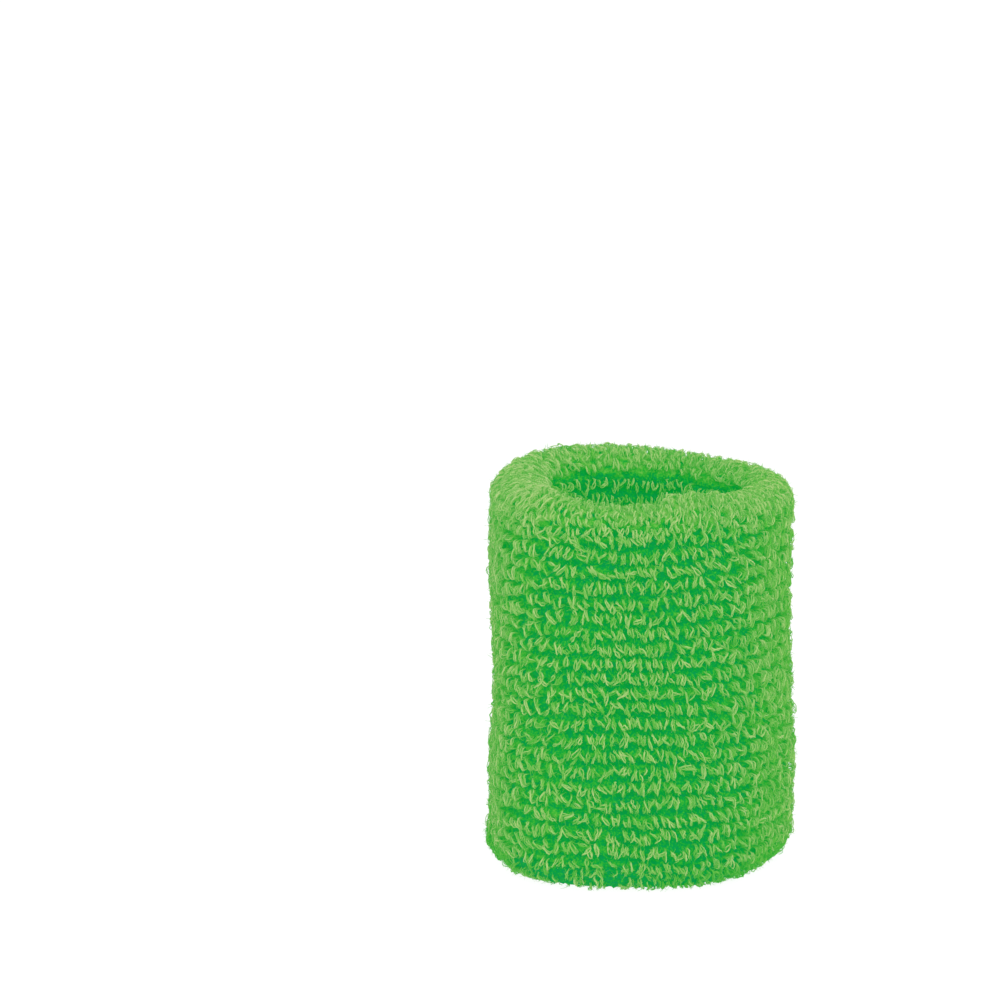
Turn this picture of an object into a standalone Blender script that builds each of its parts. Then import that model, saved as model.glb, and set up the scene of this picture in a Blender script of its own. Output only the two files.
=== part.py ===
"""A terry sweat wristband: one knitted tube folded double, standing on its lower rim.

Metres, +Z up along the band, origin at the middle of the face it stands on.
Outside to inside a wall holds terry pile, ground knit, elastic threads, ground knit
and pile again. The knit rolls over at both ends, and its two cut edges meet halfway
up the inner wall, where an overlock seam closes them.
"""
import math

import bpy

# Driving dimensions
LENGTH = 0.075              # along the arm
OUTER_RADIUS = 0.029        # to the tips of the pile
PILE_DEPTH = 0.0029         # terry loops standing off the ground knit
GROUND_DEPTH = 0.0007       # ground knit
CAVITY = 0.0035             # between the two ground walls, where the elastic lies
CLEARANCE = 0.0003          # between touching pieces
RIM_FLAT = 0.0010           # half width of the flat that the rims rest on
ROW_PITCH = 0.0031          # one course of loops to the next

# Elastic threads, laid in at every second course
ELASTIC_DIAMETER = 0.0005
ELASTIC_PITCH = 2 * ROW_PITCH
ELASTIC_COUNT = 10          # turns in each wall
ELASTIC_STAGGER = 0.25      # of a pitch, up in the outer wall and down in the inner

# Closing seam, halfway up the inner wall
THREAD_DIAMETER = 0.0004
SEAM_SLOT = 0.0030          # band of the inner wall with no pile, over the seam
EDGE_GAP = 0.0011           # between the two cut edges of the ground knit
STITCH_REACH = 0.0009       # a looper's swing to each side of the seam
STITCHES = 24

RING_STEPS = 24             # facets round a thread's ring
THREAD_SIDES = 4            # facets round a thread itself
TURN_STEPS = 48             # facets round the band
ARC_STEPS = 4               # facets in a quarter turn of a rim
MERGE = 0.00001

# Worked out from the driving dimensions
WALL = 2 * (PILE_DEPTH + CLEARANCE + GROUND_DEPTH) + CAVITY
INNER_RADIUS = OUTER_RADIUS - WALL
FOLD_RADIUS = WALL / 2                       # a rim's roll, round the middle of the wall
MID_RADIUS = OUTER_RADIUS - FOLD_RADIUS
TOP_FOLD_Z = LENGTH - FOLD_RADIUS            # where the straight wall ends
BOTTOM_FOLD_Z = FOLD_RADIUS
SEAM_Z = LENGTH / 2
OUTER_PILE_ROOT = OUTER_RADIUS - PILE_DEPTH
INNER_PILE_ROOT = INNER_RADIUS + PILE_DEPTH
GROUND_FACE = FOLD_RADIUS - PILE_DEPTH - CLEARANCE   # from mid wall to the ground's pile side
GROUND_BACK = GROUND_FACE - GROUND_DEPTH             # from mid wall to its hidden side

# Colours, linear RGB
PILE_GREEN = (0.112, 0.451, 0.072, 1.0)
GROUND_GREEN = (0.004, 0.330, 0.042, 1.0)
THREAD_GREEN = (0.050, 0.410, 0.042, 1.0)
ELASTIC_WHITE = (0.700, 0.740, 0.640, 1.0)


def clear_scene():
    """Remove every object, so the script gives the same result in any file."""
    for obj in list(bpy.data.objects):
        bpy.data.objects.remove(obj, do_unlink=True)


def make_material(name, colour, roughness):
    material = bpy.data.materials.new(name)
    material.use_nodes = True
    shader = material.node_tree.nodes["Principled BSDF"]
    shader.inputs["Base Color"].default_value = colour
    shader.inputs["Roughness"].default_value = roughness
    shader.inputs["Metallic"].default_value = 0.0
    return material


def finish(obj, collection, material):
    """Put an object in the band's collection with its material."""
    for old in list(obj.users_collection):
        old.objects.unlink(obj)
    collection.objects.link(obj)
    obj.data.materials.clear()
    obj.data.materials.append(material)


def arc(radius, z, start, end, turn_radius, steps=ARC_STEPS):
    """Points (r, z) on an arc about (radius, z), from start to end degrees."""
    points = []
    for i in range(steps + 1):
        angle = math.radians(start + (end - start) * i / steps)
        points.append((radius + turn_radius * math.cos(angle), z + turn_radius * math.sin(angle)))
    return points


def mirrored(outline):
    """The outline of the same piece at the band's other end, still running the same way."""
    return [(r, LENGTH - z) for r, z in reversed(outline)]


def turned(name, outline, collection, material):
    """A ring turned from a closed outline (r, z) that runs down its outer side."""
    mesh = bpy.data.meshes.new(name)
    count = len(outline)
    edges = [(i, (i + 1) % count) for i in range(count)]
    mesh.from_pydata([(r, 0.0, z) for r, z in outline], edges, [])
    obj = bpy.data.objects.new(name, mesh)
    collection.objects.link(obj)
    screw = obj.modifiers.new("Turn", "SCREW")
    screw.axis = "Z"
    screw.angle = math.tau
    screw.steps = TURN_STEPS
    screw.render_steps = TURN_STEPS
    screw.use_merge_vertices = True
    screw.merge_threshold = MERGE
    screw.use_smooth_shade = True
    finish(obj, collection, material)
    return obj


def wall_outline(outer, inner, low, high):
    """A straight wall's section."""
    return [(outer, high), (outer, low), (inner, low), (inner, high)]


def rim_pile_outline():
    """The top rim's section: two rounded shoulders, a flat crown and a hollow back."""
    shoulder = FOLD_RADIUS - RIM_FLAT
    z = LENGTH - shoulder
    inner_side = arc(MID_RADIUS - RIM_FLAT, z, 180, 90, shoulder)
    outer_side = arc(MID_RADIUS + RIM_FLAT, z, 90, 0, shoulder)
    foot = [(OUTER_RADIUS, TOP_FOLD_Z)]
    back = arc(MID_RADIUS, TOP_FOLD_Z, 0, 180, FOLD_RADIUS - PILE_DEPTH, 2 * ARC_STEPS)
    heel = [(INNER_RADIUS, TOP_FOLD_Z)]
    return inner_side + outer_side + foot + back + heel


def ground_outline():
    """The folded ground knit's section: a long flat loop, open at the seam's slot."""
    edge_high = SEAM_Z + EDGE_GAP / 2
    edge_low = SEAM_Z - EDGE_GAP / 2
    fold_steps = 2 * ARC_STEPS
    face = [(MID_RADIUS - GROUND_FACE, edge_high)]
    face += arc(MID_RADIUS, TOP_FOLD_Z, 180, 0, GROUND_FACE, fold_steps)
    face += arc(MID_RADIUS, BOTTOM_FOLD_Z, 0, -180, GROUND_FACE, fold_steps)
    face += [(MID_RADIUS - GROUND_FACE, edge_low)]
    back = [(MID_RADIUS - GROUND_BACK, edge_low)]
    back += arc(MID_RADIUS, BOTTOM_FOLD_Z, -180, 0, GROUND_BACK, fold_steps)
    back += arc(MID_RADIUS, TOP_FOLD_Z, 0, 180, GROUND_BACK, fold_steps)
    back += [(MID_RADIUS - GROUND_BACK, edge_high)]
    return face + back


def make_pile(collection, material):
    """The terry pile, as the zones that a wearer would name."""
    low = BOTTOM_FOLD_Z + CLEARANCE
    high = TOP_FOLD_Z - CLEARANCE
    below_seam = SEAM_Z - SEAM_SLOT / 2
    above_seam = SEAM_Z + SEAM_SLOT / 2
    rim = rim_pile_outline()
    sections = {
        "outer_wall_pile": wall_outline(OUTER_RADIUS, OUTER_PILE_ROOT, low, high),
        "top_rim_pile": rim,
        "bottom_rim_pile": mirrored(rim),
        "inner_wall_pile_upper": wall_outline(INNER_PILE_ROOT, INNER_RADIUS, above_seam, high),
        "inner_wall_pile_lower": wall_outline(INNER_PILE_ROOT, INNER_RADIUS, low, below_seam),
    }
    for name, outline in sections.items():
        turned(name, outline, collection, material)


def make_ring(name, radius, z, diameter, collection, material):
    """One turn of a thread round the band."""
    bpy.ops.mesh.primitive_torus_add(
        major_segments=RING_STEPS,
        minor_segments=THREAD_SIDES,
        major_radius=radius,
        minor_radius=diameter / 2,
        location=(0.0, 0.0, z),
    )
    ring = bpy.context.object
    ring.name = name
    ring.data.name = name
    ring.data.shade_smooth()
    finish(ring, collection, material)
    return ring


def make_elastic(collection, material):
    """Elastic turns against the hidden side of both ground walls, staggered by half a pitch."""
    facet_sag = MID_RADIUS * (1 - math.cos(math.pi / RING_STEPS))
    reach = CLEARANCE + ELASTIC_DIAMETER / 2
    outer = MID_RADIUS + GROUND_BACK - reach
    inner = MID_RADIUS - GROUND_BACK + reach + facet_sag
    span = (ELASTIC_COUNT - 1) * ELASTIC_PITCH
    start = SEAM_Z - span / 2
    for i in range(ELASTIC_COUNT):
        name = f"elastic_thread_outer_{i + 1:02d}"
        z = start + (i + ELASTIC_STAGGER) * ELASTIC_PITCH
        make_ring(name, outer, z, ELASTIC_DIAMETER, collection, material)
    for i in range(ELASTIC_COUNT):
        name = f"elastic_thread_inner_{i + 1:02d}"
        z = start + (i - ELASTIC_STAGGER) * ELASTIC_PITCH
        make_ring(name, inner, z, ELASTIC_DIAMETER, collection, material)


def make_looper(name, radius, collection, material):
    """A looper thread that crosses the seam from side to side all the way round."""
    curve = bpy.data.curves.new(name, "CURVE")
    curve.dimensions = "3D"
    curve.bevel_depth = THREAD_DIAMETER / 2
    curve.bevel_resolution = 0
    spline = curve.splines.new("POLY")
    count = 2 * STITCHES
    spline.points.add(count - 1)
    for i in range(count):
        angle = math.tau * i / count
        swing = STITCH_REACH if i % 2 else -STITCH_REACH
        spline.points[i].co = (radius * math.cos(angle), radius * math.sin(angle), SEAM_Z + swing, 1.0)
    spline.use_cyclic_u = True
    obj = bpy.data.objects.new(name, curve)
    collection.objects.link(obj)
    finish(obj, collection, material)
    return obj


def make_seam(collection, material):
    """Three-thread overlock: the needle thread in the slot, a looper on each side of it."""
    reach = CLEARANCE + THREAD_DIAMETER / 2
    mid_ground = MID_RADIUS - (GROUND_FACE + GROUND_BACK) / 2
    skin_side = MID_RADIUS - GROUND_FACE - reach
    hidden_side = MID_RADIUS - GROUND_BACK + reach
    facet_sag = hidden_side * (1 - math.cos(math.pi / (2 * STITCHES)))
    make_ring("closing_seam_needle_thread", mid_ground, SEAM_Z, THREAD_DIAMETER, collection, material)
    make_looper("closing_seam_upper_looper", skin_side, collection, material)
    make_looper("closing_seam_lower_looper", hidden_side + facet_sag, collection, material)


def main():
    clear_scene()
    band = bpy.data.collections.new("sweat_wristband")
    bpy.context.scene.collection.children.link(band)
    pile = make_material("terry_pile", PILE_GREEN, 0.95)
    ground = make_material("ground_knit", GROUND_GREEN, 0.9)
    elastic = make_material("elastic_thread", ELASTIC_WHITE, 0.6)
    thread = make_material("seam_thread", THREAD_GREEN, 0.7)
    make_pile(band, pile)
    turned("ground_knit", ground_outline(), band, ground)
    make_elastic(band, elastic)
    make_seam(band, thread)


main()
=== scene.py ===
"""The looks of the terry sweat wristband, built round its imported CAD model.

The band is one knitted tube, folded double. A place on it is given by three numbers:
theta, the angle round the band, 0 at its right and -pi/2 at its front; q, the way along
the folded wall's outer face from the seam, up the inner wall, over the top rim, down the
outer wall and back under to the seam; and d, the distance out from the middle of the
wall. cloth_points() turns those into the soft, slightly squarish shape that the band
stands in. Every loop of the pile, the ground knit, the elastic and the seam threads is
laid on it that way.
"""
import math

import bpy
import numpy as np
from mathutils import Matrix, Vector


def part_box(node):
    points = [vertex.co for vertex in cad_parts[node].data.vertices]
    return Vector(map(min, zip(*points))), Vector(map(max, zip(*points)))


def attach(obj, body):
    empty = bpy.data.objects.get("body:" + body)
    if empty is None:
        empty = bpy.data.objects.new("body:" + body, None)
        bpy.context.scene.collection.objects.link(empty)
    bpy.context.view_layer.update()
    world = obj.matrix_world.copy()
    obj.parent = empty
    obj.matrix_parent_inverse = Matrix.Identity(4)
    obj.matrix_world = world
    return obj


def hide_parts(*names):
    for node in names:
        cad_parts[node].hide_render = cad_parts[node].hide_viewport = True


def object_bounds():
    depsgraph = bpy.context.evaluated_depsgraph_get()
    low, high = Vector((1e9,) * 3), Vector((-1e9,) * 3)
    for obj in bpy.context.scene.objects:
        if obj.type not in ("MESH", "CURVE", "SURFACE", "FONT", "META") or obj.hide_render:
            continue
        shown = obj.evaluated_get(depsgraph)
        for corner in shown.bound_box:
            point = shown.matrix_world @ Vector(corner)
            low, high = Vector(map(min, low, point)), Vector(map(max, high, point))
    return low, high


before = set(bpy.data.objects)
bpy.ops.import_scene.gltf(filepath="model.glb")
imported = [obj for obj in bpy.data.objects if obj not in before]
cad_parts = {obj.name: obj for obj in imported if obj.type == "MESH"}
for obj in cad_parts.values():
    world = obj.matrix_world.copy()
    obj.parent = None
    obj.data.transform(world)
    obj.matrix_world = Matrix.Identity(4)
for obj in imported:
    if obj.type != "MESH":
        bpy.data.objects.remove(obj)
cad_low, cad_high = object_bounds()

# Sizes from the frame, in metres
LENGTH = cad_high[2] - cad_low[2]
OUTER_RADIUS = (cad_high[0] - cad_low[0]) / 2
TOP_FOLD_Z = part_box("top_rim_pile")[0].z
FOLD_RADIUS = LENGTH - TOP_FOLD_Z
MID_RADIUS = OUTER_RADIUS - FOLD_RADIUS
SEAM_Z = LENGTH / 2
MM = 0.001

# The way round the folded wall, at the pile's tips
HALF_WALL = TOP_FOLD_Z - SEAM_Z
FULL_WALL = 2 * HALF_WALL
FOLD_ARC = math.pi * FOLD_RADIUS
WAY_ROUND = 2 * FULL_WALL + 2 * FOLD_ARC
OUTER_TOP = HALF_WALL + FOLD_ARC     # where the straight outer wall starts and ends, on the way round
OUTER_END = OUTER_TOP + FULL_WALL

# Pile
SLACK = 0.3 * MM                    # kept between the yarn's centre lines and the CAD's faces
GROUND_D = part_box("ground_knit")[1].x - MID_RADIUS + SLACK      # the loops' feet, out from mid wall
LOOP_HEIGHT = FOLD_RADIUS - GROUND_D - SLACK
WALL_COURSES = 21                   # course spaces down a straight wall
FOLD_COURSES = 9                    # course spaces over a rim
OUTER_WALES = 200                   # loops in a course, round the outside
INNER_WALES = 136                   # loops in a course, on the inner wall
STRAND_POINTS = 9
FIBRE_POINTS = 4
TUBE_SIDES = 3                      # of a strand's or a fibre's tube
STRAND_RADIUS = 0.070 * MM
STRAND_OFFSET = 0.13 * MM           # a strand's place off the middle of its ply
PLY_OFFSET = 0.25 * MM              # a ply's place off the middle of its loop, where it opens out
FIBRE_RADIUS = 0.040 * MM

# A loop's shape, in millimetres and radians. The turns, lean and droop are spreads.
REACH = 1.15                        # half its length along the wall
TURN_AT_FOOT = 0.28                 # round its own middle
TURN_AT_TIP = 0.45
LEAN = 0.32                         # of its tip, round the band
DROOP = 0.34                        # of its tip, along the wall

# How far a course strays from its line: with its neighbours, and on its own
SWAY = 0.40 * MM
RIPPLE = 0.18 * MM
OWN_SWAY = 0.14 * MM
OWN_RIPPLE = 0.30 * MM

# The matted feet of the loops
MATTED_HEIGHT = 1.10 * MM           # above the knit
MATTED_RIDGE = 0.30 * MM            # under each course
MATTED_BUMPS = 0.14 * MM            # spread, from vertex to vertex
MATTED_LUMPS = 0.16 * MM            # spread, over a few vertices
MATTED_ROW = 0.40 * MM

# zone: piece name, CAD node, courses a piece, strands a loop, stray fibres a loop, and fluff, which
# is how loose and pale the loops are, from 0
ZONES = {
    "outer": ("outer_terry", "outer_wall_pile", 2, 6, 9, 0.0),
    "top": ("top_rim_terry", "top_rim_pile", 2, 6, 10, 0.35),
    "bottom": ("bottom_rim_terry", "bottom_rim_pile", 2, 4, 7, 0.35),
    "upper": ("inner_terry_upper", "inner_wall_pile_upper", 3, 4, 4, 0.1),
    "lower": ("inner_terry_lower", "inner_wall_pile_lower", 3, 3, 3, 0.1),
}

# Ground knit
LOWEST_CLOTH = 0.5 * MM             # the knit's and the feet's lowest height over the floor
KNIT_DEPTH = 0.25 * MM              # below the loops' feet
KNIT_RIDGE = 0.18 * MM              # under each course
KNIT_RIB = 0.10 * MM                # on each wale
KNIT_ROWS = 212
KNIT_EDGE = 0.6 * MM                # a cut edge's place, from the seam

# Elastic and seam threads
THREAD_SIDES = 5                    # of an elastic strand's or a seam ply's tube
ELASTIC_STRANDS = 3
ELASTIC_TWISTS = 60                 # turns of the strands round each other, in one ring
ELASTIC_POINTS = 240
SEAM_STITCHES = 60
STITCH_POINTS = 12
STITCH_TWISTS = 5                   # turns of the two plies round each other, in one stitch

# The plan of the standing band is a superellipse, whose exponent is 2 where it is round
PLAN_EXPONENT = 2.4
SQUARER_AT_LEFT = 0.85
SQUARER_AT_FRONT = 0.25
LEAST_EXPONENT = 1.75
MOST_EXPONENT = 4.0
PLAN_TURN = 0.05

# Where the soft wall leaves the CAD's tube. A swell goes out, and its places are heights.
# A rise goes up, and its places are ways along the wall. Amount, place, spread, angle, angle's spread:
LEFT_WAIST = (-0.75 * MM, 36 * MM, 12 * MM, math.pi, 1.0)
LEFT_CORNER = (1.8 * MM, 2 * MM, 2.5 * MM, math.pi, 0.4)
BACK_RISE = (1.2 * MM, HALF_WALL + 0.62 * FOLD_ARC, 5.5 * MM, 2.1, 0.6)
LOWER_SWELL = (0.45 * MM, 18 * MM, 16 * MM)     # all the way round
WAVES = 0.25 * MM                   # of three soft folds that climb the wall
TOP_SHIFT = 1.8 * MM                # how far the opening sits to the right of the rim's middle
FRONT_TILT = 0.4 * MM               # the top's right front, up
BACK_TILT = 0.5 * MM                # the top's right back, down
LIP_STEP = 2.0 * MM                 # the top rim's front lip, where it steps up
LIP_STEP_ANGLE = -1.47
LIP_LEFT = 1.6 * MM                 # the same lip, at its left
LIP_WAY = HALF_WALL + 0.42 * FOLD_ARC


# ---------------------------------------------------------------- the cloth's shape

def plan_exponent(theta):
    """How square the plan is: nearly square at the left, round at the right."""
    exponent = PLAN_EXPONENT - SQUARER_AT_LEFT * np.cos(theta) - SQUARER_AT_FRONT * np.sin(theta)
    return np.clip(exponent, LEAST_EXPONENT, MOST_EXPONENT)


def plan_curve(theta):
    """The mid wall's plan as unit-radius points, and its outward normals."""
    def point(angle):
        n = plan_exponent(angle)
        c = np.abs(np.cos(angle - PLAN_TURN))
        s = np.abs(np.sin(angle - PLAN_TURN))
        size = (c ** n + s ** n) ** (-1 / n)
        return size * np.cos(angle), size * np.sin(angle)

    step = 0.02
    x, y = point(theta)
    xa, ya = point(theta - step)
    xb, yb = point(theta + step)
    tx, ty = xb - xa, yb - ya
    size = np.hypot(tx, ty)
    return x, y, ty / size, -tx / size


def profile(q):
    """Mid wall height, and the outward normal's angle in the wall's section, along the way q."""
    q = np.mod(q, WAY_ROUND)
    a = HALF_WALL
    b = a + FOLD_ARC
    c = b + FULL_WALL
    d = c + FOLD_ARC
    z = np.where(q < a, SEAM_Z + q, TOP_FOLD_Z)
    z = np.where(q > b, TOP_FOLD_Z - (q - b), z)
    z = np.where(q > c, LENGTH - TOP_FOLD_Z, z)
    z = np.where(q > d, LENGTH - TOP_FOLD_Z + (q - d), z)
    angle = np.where(q < a, math.pi, math.pi - (q - a) / FOLD_RADIUS)
    angle = np.where(q > b, 0.0, angle)
    angle = np.where(q > c, -(q - c) / FOLD_RADIUS, angle)
    angle = np.where(q > d, -math.pi, angle)
    return z, angle


def bump(x, centre, width):
    """1 at the centre, and fading out on both sides."""
    return np.exp(-((x - centre) / width) ** 2)


def angle_from(theta, centre):
    """The angle from centre to theta the short way round, from -pi to pi."""
    return np.angle(np.exp(1j * (theta - centre)))


def angle_bump(theta, centre, width):
    """A bump round the band."""
    return np.exp(-(angle_from(theta, centre) / width) ** 2)


def local_change(place, theta, amount, centre, width, angle, angle_width):
    """A change of the shape that fades out along the wall and round the band."""
    return amount * bump(place, centre, width) * angle_bump(theta, angle, angle_width)


def cloth_points(theta, q, d):
    """Points (..., 3) on the standing band, from theta, q and d."""
    theta, q, d = np.broadcast_arrays(theta, q, d)
    z0, angle = profile(q)
    r_off = d * np.cos(angle)
    z = z0 + d * np.sin(angle)
    px, py, nx, ny = plan_curve(theta)
    amount, height, spread = LOWER_SWELL
    swell = amount * bump(z, height, spread)
    swell = swell + local_change(z, theta, *LEFT_WAIST)
    swell = swell + local_change(z, theta, *LEFT_CORNER)
    swell = swell + WAVES * np.sin(3 * theta + z / (11 * MM))
    x = MID_RADIUS * px + (r_off + swell) * nx
    y = MID_RADIUS * py + (r_off + swell) * ny
    top = np.clip((z - 0.4 * LENGTH) / (0.6 * LENGTH), 0, 1)
    z = z + top * (FRONT_TILT * angle_bump(theta, -1.15, 0.7) - BACK_TILT * angle_bump(theta, 0.9, 0.6))
    inner_share = 0.5 * (1 - np.cos(angle))
    x = x + TOP_SHIFT * inner_share * top ** 2
    past_step = 0.5 * (1 + np.tanh(angle_from(theta, LIP_STEP_ANGLE) / 0.02))
    step = past_step * angle_bump(theta, LIP_STEP_ANGLE + 0.1, 0.5)
    lip = LIP_STEP * step + LIP_LEFT * angle_bump(theta, -2.45, 0.38)
    z = z + lip * bump(q, LIP_WAY, 5 * MM)
    z = z + local_change(q, theta, *BACK_RISE)
    return np.stack([x, y, z], axis=-1)


# ---------------------------------------------------------------- mesh code

def new_object(name, verts, corners, starts, uv, shades=None):
    """A smooth mesh object from flat arrays of vertices, face corners and face starts."""
    mesh = bpy.data.meshes.new(name)
    mesh.vertices.add(len(verts))
    mesh.vertices.foreach_set("co", np.ascontiguousarray(verts, np.float32).ravel())
    mesh.loops.add(len(corners))
    mesh.loops.foreach_set("vertex_index", corners.astype(np.int32))
    mesh.polygons.add(len(starts))
    mesh.polygons.foreach_set("loop_start", starts.astype(np.int32))
    mesh.update(calc_edges=True)
    layer = mesh.uv_layers.new(name="OFBake")
    layer.data.foreach_set("uv", np.ascontiguousarray(uv, np.float32).ravel())
    if shades is not None:
        attribute = mesh.attributes.new("yarn", "FLOAT_COLOR", "POINT")
        attribute.data.foreach_set("color", np.ascontiguousarray(shades, np.float32).ravel())
    mesh.shade_smooth()
    obj = bpy.data.objects.new(name, mesh)
    bpy.context.scene.collection.objects.link(obj)
    return obj


def unit(v):
    """Vectors scaled to length 1."""
    return v / np.maximum(np.linalg.norm(v, axis=-1, keepdims=True), 1e-12)


def tube_arrays(centres, radii, side_vector, sides, closed=False):
    """Vertices (tubes, points, sides, 3) of round tubes on centre lines (tubes, points, 3)."""
    if closed:
        along = unit(np.roll(centres, -1, axis=1) - np.roll(centres, 1, axis=1))
    else:
        along = unit(np.gradient(centres, axis=1))
    across = unit(side_vector - (side_vector * along).sum(-1, keepdims=True) * along)
    third = np.cross(along, across)
    turn = np.linspace(0, math.tau, sides, endpoint=False)
    ring = across[:, :, None] * np.cos(turn)[:, None] + third[:, :, None] * np.sin(turn)[:, None]
    return centres[:, :, None] + radii[:, :, None, None] * ring


def tubes_object(name, centres, radii, side_vector, sides, shades, closed=False):
    """One object of many tubes, capped or closed rings, each with a cell of its own in the UV map."""
    verts = tube_arrays(centres, radii, side_vector, sides, closed)
    tubes, points = verts.shape[:2]
    spans = points if closed else points - 1
    base = (np.arange(tubes) * points * sides)[:, None, None]
    j = np.arange(spans)[None, :, None]
    k = np.arange(sides)[None, None, :]
    j2 = (j + 1) % points
    k2 = (k + 1) % sides
    quads = np.stack([
        base + j * sides + k, base + j * sides + k2, base + j2 * sides + k2, base + j2 * sides + k,
    ], axis=-1).reshape(-1, 4)
    cells = int(math.ceil(math.sqrt(tubes)))
    tube = np.arange(tubes)
    margin = 0.08                   # of a cell, on each side
    origin = np.stack([tube % cells, tube // cells], axis=-1) + margin
    size = 1 - 2 * margin
    u0 = np.broadcast_to(j / spans, (tubes, spans, sides))
    v0 = np.broadcast_to(k / sides, (tubes, spans, sides))
    du, dv = 1 / spans, 1 / sides
    local = np.stack([
        np.stack([u0, v0], -1), np.stack([u0, v0 + dv], -1),
        np.stack([u0 + du, v0 + dv], -1), np.stack([u0 + du, v0], -1),
    ], axis=3)
    corners = [quads.ravel()]
    starts = [np.arange(len(quads)) * 4]
    uv = [((origin[:, None, None, None] + size * local) / cells).reshape(-1, 2)]
    if not closed:
        around = np.arange(sides)
        first = base[:, 0] + around[::-1]
        last = base[:, 0] + (points - 1) * sides + around
        corners += [first.ravel(), last.ravel()]
        starts += [len(quads) * 4 + np.arange(2 * tubes) * sides]
        first_uv = np.stack([np.zeros(sides), around[::-1] / sides], -1)
        last_uv = np.stack([np.ones(sides), around / sides], -1)
        uv += [((origin[:, None] + size * ends) / cells).reshape(-1, 2) for ends in (first_uv, last_uv)]
    point_shades = np.repeat(shades.reshape(-1, 4), sides, axis=0)
    return new_object(
        name, verts.reshape(-1, 3), np.concatenate(corners), np.concatenate(starts),
        np.concatenate(uv), point_shades,
    )


def grid_object(name, verts, shades=None):
    """One object of a grid of vertices (rows, columns, 3), joined up round the band."""
    rows_n, columns = verts.shape[:2]
    i = np.arange(rows_n - 1)[:, None]
    j = np.arange(columns)[None, :]
    j2 = (j + 1) % columns
    quads = np.stack([
        i * columns + j, i * columns + j2, (i + 1) * columns + j2, (i + 1) * columns + j,
    ], -1)
    u, v = j / columns + 0 * i, i / (rows_n - 1) + 0 * j
    du, dv = 1 / columns, 1 / (rows_n - 1)
    uv = np.stack([np.stack([u, v], -1), np.stack([u + du, v], -1),
                   np.stack([u + du, v + dv], -1), np.stack([u, v + dv], -1)], axis=2)
    starts = np.arange(quads.size // 4) * 4
    return new_object(name, verts.reshape(-1, 3), quads.ravel(), starts, uv.reshape(-1, 2), shades)


# ---------------------------------------------------------------- pile

def smooth_noise(theta, seed, waves=9):
    """A periodic noise round the band, about -1 to 1."""
    rng = np.random.default_rng(seed)
    total = np.zeros_like(theta)
    for n in range(1, waves + 1):
        total += rng.normal() * np.cos(n * theta + rng.uniform(0, math.tau)) / math.sqrt(waves)
    return total


def drift(theta, q):
    """How far the courses wander along the wall, the same for neighbouring courses."""
    slow = SWAY * np.sin(2 * theta + q / (12 * MM) + 0.6)
    return slow + RIPPLE * np.sin(5 * theta - q / (7 * MM))


def course_loops(row, q, wales, fluff):
    """Centre lines (loops, points, 3) of one course's loops, with how far up each point is, which sets its
    painted shade and highlight.
    """
    rng = np.random.default_rng(1000 + row)
    n = wales

    def spread(amount):
        return amount * rng.normal(0, 1, (n, 1))

    theta = (np.arange(n) + rng.normal(0, 0.14 + 0.2 * fluff, n)) / n * math.tau
    t = np.linspace(0, 1, STRAND_POINTS)[None, :]
    # the loops splay more at the left and right
    splay = fluff + 0.30 * (angle_bump(theta, 0, 0.85) + angle_bump(theta, math.pi, 0.85))[:, None]
    height = LOOP_HEIGHT * np.clip(rng.normal(0.93, 0.06, n), 0.6, 1.05)[:, None]
    # a dark patch on the lower rim's front, where most loops are pressed down
    sparse = angle_bump(theta, -1.9, 0.45) * bump(q, OUTER_END + 4.5 * MM, 3.6 * MM)
    height = height * np.where(rng.random(n) < 0.85 * sparse, 0.25, 1.0)[:, None]
    reach = (REACH + 0.25 * splay - 0.5 * fluff) * MM * np.clip(rng.normal(1.0, 0.17, n), 0.5, 1.6)[:, None]
    wander = drift(theta, q) + OWN_SWAY * smooth_noise(theta, 50 + row)
    wander = (wander + OWN_RIPPLE * smooth_noise(theta, 250 + row, 48))[:, None]
    turn_at_foot = spread(TURN_AT_FOOT + 0.1 * splay - 0.4 * fluff)
    turn_at_foot = turn_at_foot + 0.30 * smooth_noise(theta, 90 + row, 5)[:, None]
    turn_at_tip = spread(TURN_AT_TIP + 0.1 * splay - 0.6 * fluff)
    lean = spread((LEAN + 0.3 * splay - 0.5 * fluff) * MM)
    droop = spread((DROOP + 0.60 * splay) * MM)
    rise = (1 - (2 * t - 1) ** 4) ** 0.8
    root = 0.25 * MM                # how deep the feet start in the knit
    h = -root + (height + root) * rise
    w = -reach * np.cos(math.pi * t) * (0.6 + 0.6 * np.sin(math.pi * t))
    a = 0.25 * MM * (2 * t - 1) + lean * rise
    turn = turn_at_foot + turn_at_tip * rise
    a, w = a * np.cos(turn) - w * np.sin(turn), a * np.sin(turn) + w * np.cos(turn)
    points = cloth_points(theta[:, None] + a / OUTER_RADIUS, q + wander + w + droop * rise, GROUND_D + h)
    sag = 0.22 * MM
    points[..., 2] -= sag * rise ** 2
    # Painted light: points low on a loop get painted shade and points at its tip a painted highlight; the
    # looser loops of the rims are paler.
    up = np.clip((rise * height / LOOP_HEIGHT - 0.33 + 0.33 * fluff) / 0.5, 0, 1) * (1 + 0.7 * fluff)
    # Painted shade: the rows that turn under the band towards the floor are darker, less so in the
    # pressed-down patch.
    underside_shade = np.clip((q - OUTER_END) / (2 * MM), 0, 1)
    up = up * (1 - 0.5 * underside_shade * (1 - 0.8 * sparse[:, None]))
    return points, up, rng


def above_floor(points, rng):
    """Keep the yarn's centre lines a yarn's radius above the floor, pressed flat."""
    lowest = 0.30 * MM + 0.25 * MM * rng.random(points.shape[:1])[:, None]
    points[..., 2] = np.maximum(points[..., 2], lowest)
    return points


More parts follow.
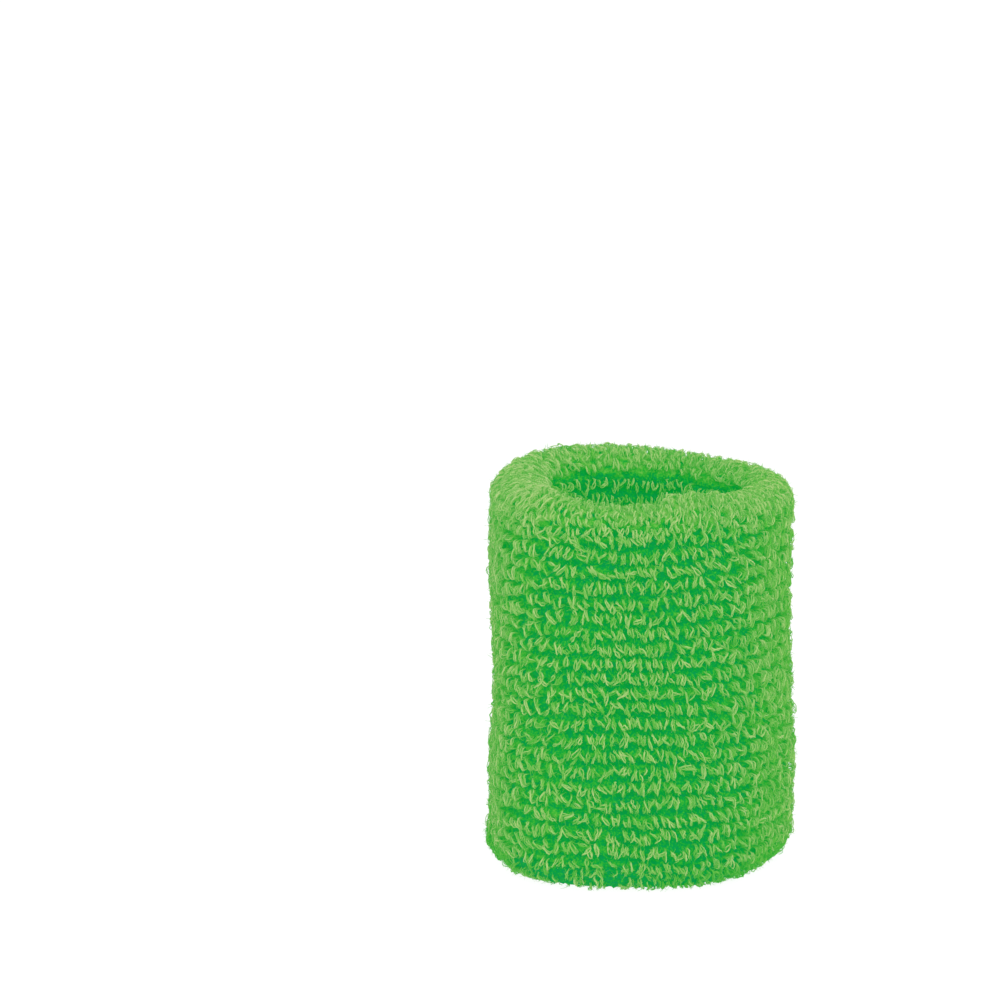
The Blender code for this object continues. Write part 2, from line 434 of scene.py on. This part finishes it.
def course_strands(row, q, wales, fluff, strands):
    """Every strand of one course: centre lines, radii, side vectors and shades."""
    points, up, rng = course_loops(row, q, wales, fluff)
    n = len(points)
    along = unit(np.gradient(points, axis=1))
    sideways = unit(np.cross(along[:, 2], along[:, -3]))[:, None]
    across = unit(sideways - (sideways * along).sum(-1, keepdims=True) * along)
    third = np.cross(along, across)
    t = np.linspace(0, 1, STRAND_POINTS)[None, :]
    feet = 0.5 * (points[:, :1] + points[:, -1:])
    start = rng.uniform(0, math.tau, n)[:, None]
    width = np.clip(rng.normal(1.0, 0.3, n), 0.5, 1.8)[:, None]
    tone = rng.random(n)
    opening = np.sin(math.pi * t)
    turns = rng.normal(0.9, 0.35, n)[:, None]
    ply_pale = np.clip(rng.normal(0.85, 0.3, (n, 2)), 0.1, 1.2)
    ply_size = np.clip(rng.normal(0.98, 0.08, (n, 2)), 0.75, 1.08)
    lines, radii, sides, shades = [], [], [], []
    for s in range(strands):
        ply = s % 2
        ply_phase = start + math.pi * ply + math.tau * turns * (t - 0.5)
        ply_away = PLY_OFFSET * min(1.0, strands / 6) * width * opening
        crimp = 0.5 * np.sin(math.tau * (1.7 * t + rng.random(n)[:, None]))
        phase = rng.uniform(0, math.tau, n)[:, None] + math.tau * 1.6 * t + crimp
        loose = np.clip(rng.normal(1.0, 0.6, n), 0.2, 3.0)[:, None] * (1 + 0.4 * fluff)
        offset = STRAND_OFFSET * loose * (0.4 + 0.6 * opening)
        size = ply_size[:, ply, None, None] * np.clip(rng.normal(1.0, 0.05, n), 0.85, 1.1)[:, None, None]
        line = feet + size * (points - feet)
        sideways_off = ply_away * np.cos(ply_phase) + offset * np.cos(phase)
        outward_off = 0.5 * ply_away * np.sin(ply_phase) + offset * np.sin(phase)
        line = line + sideways_off[..., None] * across + outward_off[..., None] * third
        line = above_floor(line, rng)
        thick = np.clip(1.35 - 0.3 * loose + rng.normal(0, 0.2, (n, 1)), 0.5, 1.7)
        paleness = ply_pale[:, ply, None] * (1.35 - 0.5 * loose) + rng.normal(0, 0.15, (n, 1))
        paleness = np.clip(paleness, 0, 1.1)
        lines.append(line)
        radii.append(STRAND_RADIUS * thick * (1.0 - 0.15 * np.cos(math.tau * t)) * np.ones_like(up))
        sides.append(np.broadcast_to(sideways, line.shape))
        # Red carries the painted shade and highlight, by how far up the loop a point is.
        shade = np.stack([
            up, np.broadcast_to(tone[:, None], up.shape),
            np.broadcast_to(paleness, up.shape), np.ones_like(up),
        ], axis=-1)
        shades.append(shade)
    return [np.concatenate(x) for x in (lines, radii, sides, shades)]


def course_fibres(row, q, wales, fluff, fibres):
    """Stray fibres that stand off one course's loops."""
    points, up, rng = course_loops(row, q, wales, fluff)
    n = len(points) * fibres
    loop = np.repeat(np.arange(len(points)), fibres)
    at = rng.integers(2, STRAND_POINTS - 2, n)
    along = unit(points[loop, at + 1] - points[loop, at - 1])
    out = unit(points[loop, STRAND_POINTS // 2] - 0.5 * (points[loop, 0] + points[loop, -1]))
    start = points[loop, at] + STRAND_OFFSET * unit(rng.normal(0, 1, (n, 3)))
    aim = 1.2 * along * rng.choice([-1, 1], n)[:, None] + 0.1 * out + 0.6 * rng.normal(0, 1, (n, 3))
    aim = unit(aim)
    curl = unit(rng.normal(0, 1, (n, 3)) - 0.6 * out)
    length = MM * np.clip(rng.gamma(5.0, 0.15, n), 0.3, 1.2)[:, None, None]
    t = np.linspace(0, 1, FIBRE_POINTS)[None, :, None]
    lines = start[:, None] + length * (t * aim[:, None] + 0.5 * t ** 2 * curl[:, None])
    lines[..., 2] = np.maximum(lines[..., 2], 0.1 * MM)
    radii = FIBRE_RADIUS * rng.uniform(0.7, 1.3, n)[:, None] * (1.1 - 0.6 * t[..., 0])
    side = unit(rng.normal(0, 1, (n, 1, 3)))
    shades = np.ones((n, FIBRE_POINTS, 4))
    # The fibres take their loop's painted shade and highlight, a little paler.
    shades[..., 0] = np.clip(up[loop, at] + 0.2, 0, 1)[:, None]
    shades[..., 1] = rng.random(n)[:, None]
    shades[..., 2] = 0.5 * rng.random(n)[:, None]
    return [lines, radii, np.broadcast_to(side, lines.shape), shades]


def course_rows():
    """(row, q, wales, zone) of each course, in order round the folded wall."""
    rows = []
    wall_pitch = FULL_WALL / WALL_COURSES
    fold_pitch = FOLD_ARC / FOLD_COURSES
    for i in range(WALL_COURSES + 1):
        rows.append((OUTER_TOP + i * wall_pitch, OUTER_WALES, "outer"))
    for i in range(1, FOLD_COURSES):
        share = i / FOLD_COURSES
        wales = round(OUTER_WALES + (INNER_WALES - OUTER_WALES) * max(0, share - 0.4) / 0.6)
        if i < FOLD_COURSES - 1:
            rows.append((OUTER_TOP - i * fold_pitch, wales, "top"))
        rows.append((OUTER_END + i * fold_pitch, wales, "bottom"))
    half = (WALL_COURSES + 1) // 2
    for i in range(half):
        rows.append((HALF_WALL - 0.5 * MM - i * wall_pitch, INNER_WALES, "upper"))
        rows.append((WAY_ROUND - HALF_WALL + i * wall_pitch, INNER_WALES, "lower"))
    return [(row, q, wales, zone) for row, (q, wales, zone) in enumerate(rows)]


def pile_piece(name, node, parts, material):
    """One piece of a pile zone, from each of its courses' strands or fibres."""
    lines, radii, sides, shades = [np.concatenate(x) for x in zip(*parts)]
    piece = tubes_object(name, lines, radii, sides, TUBE_SIDES, shades)
    piece.data.materials.append(material)
    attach(piece, "root")
    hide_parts(node)


def build_pile(material):
    """The terry pile: loops and stray fibres, a few courses to a piece."""
    rows = course_rows()
    for zone, (name, node, together, strands, fibres, fluff) in ZONES.items():
        members = [r for r in rows if r[3] == zone]
        for number, start in enumerate(range(0, len(members), together), 1):
            group = members[start:start + together]
            loops = [course_strands(row, q, wales, fluff, strands) for row, q, wales, _ in group]
            pile_piece(f"{name}_loops_{number}", node, loops, material)
            fuzz = [course_fibres(row, q, wales, fluff, fibres) for row, q, wales, _ in group]
            pile_piece(f"{name}_fuzz_{number}", node, fuzz, material)


def blotches(rng, rows_n, columns, passes):
    """A grid of noise in soft blotches, periodic both ways, with a spread of about 1."""
    grid = rng.normal(0, 1, (rows_n, columns))
    for _ in range(passes):
        grid = grid + np.roll(grid, 1, 0) + np.roll(grid, -1, 0)
        grid = grid + np.roll(grid, 1, 1) + np.roll(grid, -1, 1)
    return grid / grid.std()


def build_matted_feet(material):
    """The matted feet of the loops: a bumpy skin over the knit, one piece to each pile zone."""
    seam_gap = 1.6 * MM
    # zone: q from, q to, paleness at the middle (a painted highlight on the rim's crest), extra height at
    # the middle
    spans = {
        "outer": (OUTER_TOP, OUTER_END, 0.0, 0.0),
        "top": (HALF_WALL, OUTER_TOP, 1.0, 0.0),
        "bottom": (OUTER_END, WAY_ROUND - HALF_WALL, 0.0, 1.1 * MM),
        "upper": (seam_gap, HALF_WALL, 0.0, -0.5 * MM),
        "lower": (WAY_ROUND - HALF_WALL, WAY_ROUND - seam_gap, 0.0, -0.5 * MM),
    }
    columns = 2 * OUTER_WALES
    pitch = FULL_WALL / WALL_COURSES
    for seed, (zone, (low, high, pale, rise)) in enumerate(spans.items()):
        rng = np.random.default_rng(5000 + seed)
        rows_n = int((high - low) / MATTED_ROW) + 1
        theta = np.linspace(0, math.tau, columns, endpoint=False)[None, :]
        q = np.linspace(low, high, rows_n)[:, None]
        crest = np.sin(math.pi * np.clip((q - low) / (high - low), 0, 1))
        course = math.tau * (q - drift(theta, q) - OUTER_TOP) / pitch
        straight = zone not in ("top", "bottom")
        height = MATTED_HEIGHT + rise * crest + MATTED_RIDGE * straight * np.cos(course)
        height = height + MATTED_BUMPS * rng.normal(0, 1, (rows_n, columns))
        height = height + MATTED_LUMPS * blotches(rng, rows_n, columns, 1)
        verts = cloth_points(theta, q, GROUND_D + height)
        verts[..., 2] = np.maximum(verts[..., 2], LOWEST_CLOTH)
        sides = angle_bump(theta, 0, 0.8) + angle_bump(theta, math.pi, 0.8)
        # Painted shade: paler on each course's ridge and darker in the gaps between courses, and paler at
        # the band's left and right.
        course_shade_and_sides = (zone == "outer") * (0.18 * (0.5 + 0.5 * np.cos(course)) + 0.30 * sides)
        patches = np.clip(1 + 0.55 * blotches(rng, rows_n, columns, 2), 0, 2)
        shades = np.ones((rows_n, columns, 4))
        shades[..., 0] = (pale * crest + course_shade_and_sides) * patches
        shades[..., 1] = rng.random((rows_n, columns))
        name, node = ZONES[zone][:2]
        piece = grid_object(f"{name}_matted_feet", verts, shades)
        piece.data.materials.append(material)
        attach(piece, "root")
        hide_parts(node)


# ---------------------------------------------------------------- ground knit

def build_ground(material):
    """The folded ground knit: a ridge under each course and a rib on each wale."""
    columns = 2 * OUTER_WALES
    theta = np.linspace(0, math.tau, columns, endpoint=False)[None, :]
    q = np.linspace(KNIT_EDGE, WAY_ROUND - KNIT_EDGE, KNIT_ROWS)[:, None]
    pitch = FULL_WALL / WALL_COURSES
    ridge = KNIT_RIDGE * np.cos(math.tau * (q - HALF_WALL) / pitch)
    rib = KNIT_RIB * np.cos(theta * OUTER_WALES)
    verts = cloth_points(theta, q, GROUND_D - KNIT_DEPTH + ridge + rib)
    verts[..., 2] = np.maximum(verts[..., 2], LOWEST_CLOTH)
    piece = grid_object("ground_knit_sheet", verts)
    piece.data.materials.append(material)
    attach(piece, "root")
    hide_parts("ground_knit")


# ---------------------------------------------------------------- elastic and seam

def outer_way(z):
    """q of a height on the outer wall."""
    return OUTER_TOP + TOP_FOLD_Z - z


def inner_way(z):
    """q of a height on the inner wall."""
    return (z - SEAM_Z) % WAY_ROUND


def ring_middle(node):
    """A CAD ring's distance out from the mid wall, and its height and half thickness."""
    low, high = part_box(node)
    half = (high.z - low.z) / 2
    return high.x - half - MID_RADIUS, low.z + half, half


def flat_shades(tubes, points, seed):
    """Shades for threads: full height, one random tone a tube."""
    shades = np.ones((tubes, points, 4))
    shades[..., 2] = np.random.default_rng(seed).random(tubes)[:, None]
    return shades


def build_elastic(material):
    """Covered elastic: three soft strands twisted into each ring of the CAD's thread."""
    nodes = [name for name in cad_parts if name.startswith("elastic_thread_")]
    for seed, node in enumerate(sorted(nodes)):
        out, z, half = ring_middle(node)
        way = outer_way(z) if out > 0 else inner_way(z)
        t = np.linspace(0, math.tau, ELASTIC_POINTS, endpoint=False)
        lines = []
        for strand in range(ELASTIC_STRANDS):
            twist = ELASTIC_TWISTS * t + math.tau * strand / ELASTIC_STRANDS
            lines.append(cloth_points(
                t, way + 0.5 * half * np.cos(twist), abs(out) + 0.5 * half * np.sin(twist)))
        lines = np.array(lines)
        radii = np.full(lines.shape[:2], 0.52 * half)
        sideways = np.broadcast_to(np.array([0.0, 0.0, 1.0]), lines.shape)
        shades = flat_shades(ELASTIC_STRANDS, ELASTIC_POINTS, seed)
        piece = tubes_object(f"{node}_yarn", lines, radii, sideways, THREAD_SIDES, shades, closed=True)
        piece.data.materials.append(material)
        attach(piece, "root")
        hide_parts(node)


def build_seam(material):
    """The overlock seam: a stitched needle thread and two loopers that swing over the cut edges."""
    half = ring_middle("closing_seam_needle_thread")[2]
    low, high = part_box("closing_seam_upper_looper")
    reach = (high.z - low.z) / 2 - half
    t = np.linspace(0, math.tau, SEAM_STITCHES * STITCH_POINTS, endpoint=False)
    swing = SEAM_STITCHES * t
    face = GROUND_D + 0.1 * MM      # where the stitches lie on the knit
    routes = {
        "closing_seam_needle_thread": (0.15 * reach * np.sin(swing), face + 0.9 * half * np.cos(swing)),
        "closing_seam_upper_looper": (
            reach * (0.1 + 0.9 * np.sin(swing)), face + half * (1.6 + 0.5 * np.cos(2 * swing))),
        "closing_seam_lower_looper": (
            -reach * (0.1 + 0.9 * np.sin(swing + 0.8)), face - half * (1.6 - 0.5 * np.cos(2 * swing))),
    }
    for seed, (node, (way, out)) in enumerate(routes.items()):
        lines = []
        for ply in range(2):
            twist = STITCH_TWISTS * swing + math.pi * ply
            lines.append(cloth_points(
                t, way + 0.4 * half * np.cos(twist), out + 0.4 * half * np.sin(twist)))
        lines = np.array(lines)
        radii = np.full(lines.shape[:2], 0.5 * half)
        sideways = np.broadcast_to(np.array([0.0, 0.0, 1.0]), lines.shape)
        shades = flat_shades(2, len(t), 70 + seed)
        piece = tubes_object(f"{node}_stitches", lines, radii, sideways, THREAD_SIDES, shades, closed=True)
        piece.data.materials.append(material)
        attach(piece, "root")
        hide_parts(node)


# ---------------------------------------------------------------- materials

def node_material(name):
    """A new material, with its node tree and its Principled shader."""
    material = bpy.data.materials.new(name)
    material.use_nodes = True
    tree = material.node_tree
    shader = tree.nodes["Principled BSDF"]
    return material, tree, shader


def yarn_shades(tree):
    """Sockets of each point's shades: red is how far up a loop it is, which sets painted shade and
    highlight, green a tone, blue paleness.
    """
    attribute = tree.nodes.new("ShaderNodeAttribute")
    attribute.attribute_name = "yarn"
    split = tree.nodes.new("ShaderNodeSeparateColor")
    tree.links.new(attribute.outputs["Color"], split.inputs[0])
    return split.outputs


def ramp(tree, factor, stops):
    """Colours by factor, from a list of (place, colour)."""
    node = tree.nodes.new("ShaderNodeValToRGB")
    elements = node.color_ramp.elements
    while len(elements) < len(stops):
        elements.new(0.5)
    for element, (place, colour) in zip(elements, stops):
        element.position = place
        element.color = (*colour, 1.0)
    tree.links.new(factor, node.inputs["Fac"])
    return node.outputs["Color"]


def math_node(tree, operation, a, b):
    """The result of a maths node on two sockets or numbers."""
    node = tree.nodes.new("ShaderNodeMath")
    node.operation = operation
    for socket, value in zip(node.inputs, (a, b)):
        if isinstance(value, (int, float)):
            socket.default_value = value
        else:
            tree.links.new(value, socket)
    return node.outputs[0]


def pile_material():
    """Spun cotton, with painted shade and highlight: deep green at the root, pale yellow-green where the
    loops turn over.
    """
    material, tree, shader = node_material("terry_pile_yarn")
    shades = yarn_shades(tree)
    noise = object_noise(tree, 900.0)
    tone = math_node(tree, "MULTIPLY", shades["Green"], 0.16)
    strand = math_node(tree, "MULTIPLY", shades["Blue"], 0.44)
    pale = math_node(tree, "ADD", math_node(tree, "ADD", tone, strand), 0.35)
    fibres = math_node(tree, "MULTIPLY", noise, 0.20)
    # Painted light: deep green shade at the root and a pale highlight at the tip, by how far up the loop a
    # point is.
    total = math_node(tree, "ADD", math_node(tree, "MULTIPLY", pale, shades["Red"]), fibres)
    colour = ramp(tree, total, [
        (0.06, (0.000, 0.05, 0.050)),
        (0.15, (0.000, 0.12, 0.022)),
        (0.42, (0.055, 0.23, 0.014)),
        (0.66, (0.170, 0.275, 0.055)),
        (1.00, (0.420, 0.36, 0.190)),
    ])
    tree.links.new(colour, shader.inputs["Base Color"])
    fine = object_noise(tree, 4000.0)
    add_bump(tree, shader, fine, 0.5, 0.0001)
    add_roughness(tree, shader, fine, 0.8, 1.0)
    shader.inputs["Specular IOR Level"].default_value = 0.1
    shader.inputs["Sheen Weight"].default_value = 0.12
    shader.inputs["Sheen Roughness"].default_value = 0.4
    painted_glow(shader)
    return material


def matted_material():
    """The matted feet between the loops: deep green, with paler patches of caught-up yarn. Their paleness
    also holds painted light: a highlight on the top rim's crest, shade in the gaps between the courses, and
    paler left and right sides of the band.
    """
    material, tree, shader = node_material("terry_pile_feet")
    shades = yarn_shades(tree)
    mottle = object_noise(tree, 2200.0, 3.0)
    # The red shade holds the feet's painted shade and highlight, broken into patches.
    patch = math_node(tree, "MULTIPLY", shades["Red"], 0.5)
    flecks = math_node(tree, "SUBTRACT", mottle, 0.25)
    colour = ramp(tree, math_node(tree, "ADD", patch, flecks), [
        (0.18, (0.000, 0.06, 0.055)),
        (0.30, (0.000, 0.12, 0.025)),
        (0.50, (0.050, 0.21, 0.014)),
        (0.85, (0.240, 0.28, 0.090)),
    ])
    tree.links.new(colour, shader.inputs["Base Color"])
    add_bump(tree, shader, mottle, 0.7, 0.0003)
    add_roughness(tree, shader, mottle, 0.8, 1.0)
    shader.inputs["Specular IOR Level"].default_value = 0.1
    painted_glow(shader)
    return material


def painted_glow(shader, strength=0.255):
    """Painted light: a green glow that keeps the shade between the loops bright and saturated green."""
    shader.inputs["Emission Color"].default_value = (0.0, 1.0, 0.08, 1.0)
    shader.inputs["Emission Strength"].default_value = strength


def object_noise(tree, scale, detail=2.0):
    """Noise in the piece's own space, scale lumps to a metre."""
    coords = tree.nodes.new("ShaderNodeTexCoord")
    noise = tree.nodes.new("ShaderNodeTexNoise")
    noise.inputs["Scale"].default_value = scale
    noise.inputs["Detail"].default_value = detail
    tree.links.new(coords.outputs["Object"], noise.inputs["Vector"])
    return noise.outputs["Fac"]


def add_bump(tree, shader, height, strength, distance):
    """Bump from a height socket, over a distance in metres."""
    bump_node = tree.nodes.new("ShaderNodeBump")
    bump_node.inputs["Strength"].default_value = strength
    bump_node.inputs["Distance"].default_value = distance
    tree.links.new(height, bump_node.inputs["Height"])
    tree.links.new(bump_node.outputs["Normal"], shader.inputs["Normal"])


def add_roughness(tree, shader, factor, low, high):
    """Roughness from low to high, by a factor socket."""
    spread = math_node(tree, "MULTIPLY", factor, high - low)
    tree.links.new(math_node(tree, "ADD", spread, low), shader.inputs["Roughness"])


def ground_material():
    """The ground knit in the gaps between the courses: deep green, mottled by its small loops."""
    material, tree, shader = node_material("ground_knit_yarn")
    mottle = object_noise(tree, 1500.0, 3.0)
    colour = ramp(tree, mottle, [(0.32, (0.000, 0.08, 0.080)), (0.50, (0.000, 0.13, 0.045)),
                                 (0.70, (0.010, 0.18, 0.035))])
    tree.links.new(colour, shader.inputs["Base Color"])
    add_bump(tree, shader, mottle, 0.5, 0.0002)
    add_roughness(tree, shader, mottle, 0.8, 1.0)
    shader.inputs["Specular IOR Level"].default_value = 0.1
    painted_glow(shader)
    return material


def thread_material(name, dark, pale, roughness, with_painted_glow):
    """A smooth thread: tone by strand, with fine wear along it."""
    material, tree, shader = node_material(name)
    shades = yarn_shades(tree)
    fine = object_noise(tree, 2500.0)
    strand = math_node(tree, "MULTIPLY", shades["Blue"], 0.4)
    colour = ramp(tree, math_node(tree, "ADD", strand, math_node(tree, "MULTIPLY", fine, 0.7)),
                  [(0.25, dark), (0.85, pale)])
    tree.links.new(colour, shader.inputs["Base Color"])
    add_bump(tree, shader, fine, 0.4, 0.0001)
    add_roughness(tree, shader, fine, roughness - 0.1, roughness + 0.1)
    # Painted light: the same green glow as the pile.
    if with_painted_glow:
        painted_glow(shader)
    return material


# ---------------------------------------------------------------- camera, light and floor

CAMERA_PITCH = math.radians(13.7)   # how far down it looks
CAMERA_DISTANCE = 1.247
CAMERA_LENS = 234.0                 # mm, on a sensor 36 mm wide
BAND_RIGHT_OF_AIM = 0.0272          # the band's middle, from the middle of the picture
BAND_BELOW_AIM = 0.0316
FLOOR_SIZE = 12.0
FLOOR_Z = -0.00002                  # just under the band
FLOOR_GREY = 0.10                   # it throws little green light back up at the band
FLOOR_GLOW = 0.95                   # and is white by its own light
KEY_PLACE = (0.1, -1.2, 0.9)
KEY_AIM = (0, 0, 0.04)
KEY_SIZE = 1.2
KEY_WATTS = 10.0


def build_camera():
    """A long lens that looks slightly down at the band's front."""
    forward = Vector((0, math.cos(CAMERA_PITCH), -math.sin(CAMERA_PITCH)))
    up = Vector((0, math.sin(CAMERA_PITCH), math.cos(CAMERA_PITCH)))
    right = Vector((1, 0, 0))
    data = bpy.data.cameras.new("camera")
    data.lens = CAMERA_LENS
    data.sensor_width = 36.0
    data.clip_end = 50.0
    camera = bpy.data.objects.new("camera", data)
    bpy.context.scene.collection.objects.link(camera)
    middle = Vector((0, 0, LENGTH / 2))
    camera.location = middle - right * BAND_RIGHT_OF_AIM + up * BAND_BELOW_AIM - forward * CAMERA_DISTANCE
    camera.rotation_euler = (math.pi / 2 - CAMERA_PITCH, 0, 0)
    bpy.context.scene.camera = camera


def build_stage():
    """A white floor, even white light all round and one soft lamp in front."""
    bpy.ops.mesh.primitive_plane_add(size=FLOOR_SIZE, location=(0, 0, FLOOR_Z))
    floor = bpy.context.object
    floor.name = "floor"
    material, _, shader = node_material("pale_floor")
    shader.inputs["Base Color"].default_value = (FLOOR_GREY, FLOOR_GREY, FLOOR_GREY, 1.0)
    shader.inputs["Emission Color"].default_value = (1.0, 1.0, 1.0, 1.0)
    shader.inputs["Emission Strength"].default_value = FLOOR_GLOW
    shader.inputs["Roughness"].default_value = 1.0
    shader.inputs["Specular IOR Level"].default_value = 0.0
    floor.data.materials.append(material)
    world = bpy.data.worlds.new("studio")
    bpy.context.scene.world = world
    world.use_nodes = True
    background = world.node_tree.nodes["Background"]
    background.inputs["Color"].default_value = (1.0, 1.0, 1.0, 1.0)
    background.inputs["Strength"].default_value = 1.0
    bpy.context.scene.view_settings.view_transform = "Standard"
    light = bpy.data.lights.new("key", "AREA")
    light.shape = "DISK"
    light.size = KEY_SIZE
    light.energy = KEY_WATTS
    key = bpy.data.objects.new("key", light)
    key.location = KEY_PLACE
    key.rotation_euler = (Vector(KEY_AIM) - key.location).to_track_quat("-Z", "Y").to_euler()
    bpy.context.scene.collection.objects.link(key)


def main():
    build_camera()
    build_stage()
    build_pile(pile_material())
    build_matted_feet(matted_material())
    build_ground(ground_material())
    build_elastic(thread_material("covered_elastic", (0.50, 0.56, 0.42), (0.78, 0.82, 0.70), 0.5, False))
    build_seam(thread_material("seam_thread", (0.02, 0.34, 0.04), (0.12, 0.50, 0.08), 0.55, True))


main()
